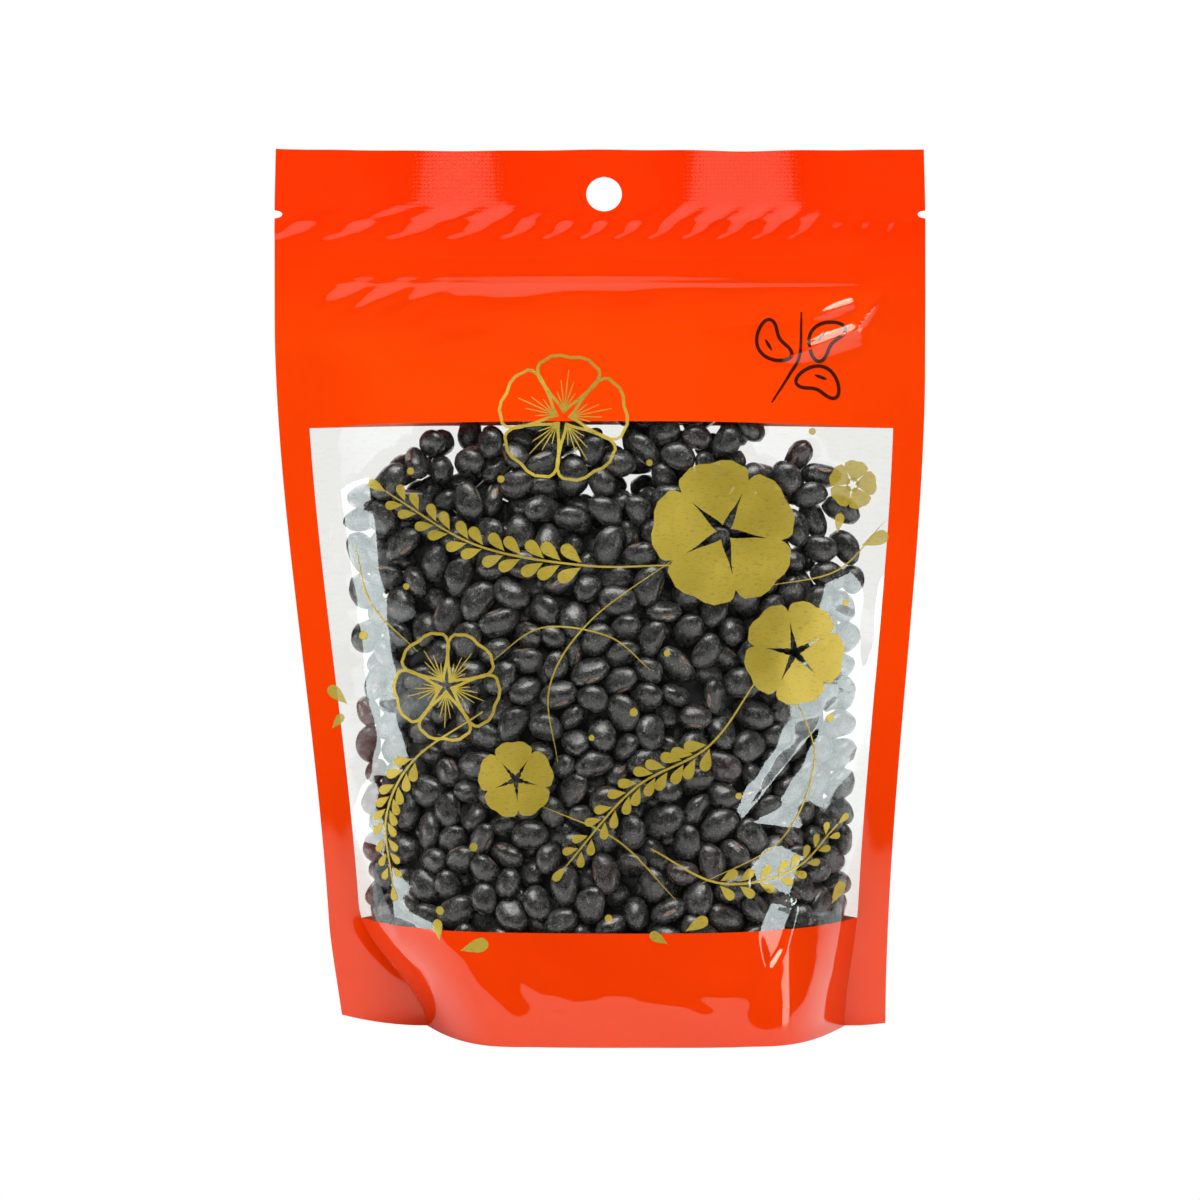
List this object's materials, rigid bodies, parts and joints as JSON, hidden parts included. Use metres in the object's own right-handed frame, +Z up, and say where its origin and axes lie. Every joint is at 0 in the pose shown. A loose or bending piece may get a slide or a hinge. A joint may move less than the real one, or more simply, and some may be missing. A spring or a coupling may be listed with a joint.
{
  "type": "stand-up pouch of roasted black beans",
  "caption": "Filled stand-up food pouch with a zip, a hang hole, tear notches, an opened bottom gusset and clear windows that show the roasted black beans inside.",
  "frame": {"origin": "middle of the footprint, on the table that the pouch stands on", "axes": "+Z up along the height; the front faces -Y; +X to the right seen from the front; +Y through the thickness"},
  "size_m": [0.16, 0.0712, 0.216],
  "materials": {
    "printed_film": "glossy red-orange printed film",
    "roasted_beans": "dry roasted bean skin with a soft dull shine",
    "clear_film": "thin clear glossy film of the windows",
    "gold_ink": "satin gold foil print",
    "dark_ink": "dark brown-black line print under the gloss of the film"
  },
  "bodies": {
    "root": {"pouch": "printed_film", "beans": "roasted_beans"}
  },
  "joints": []
}
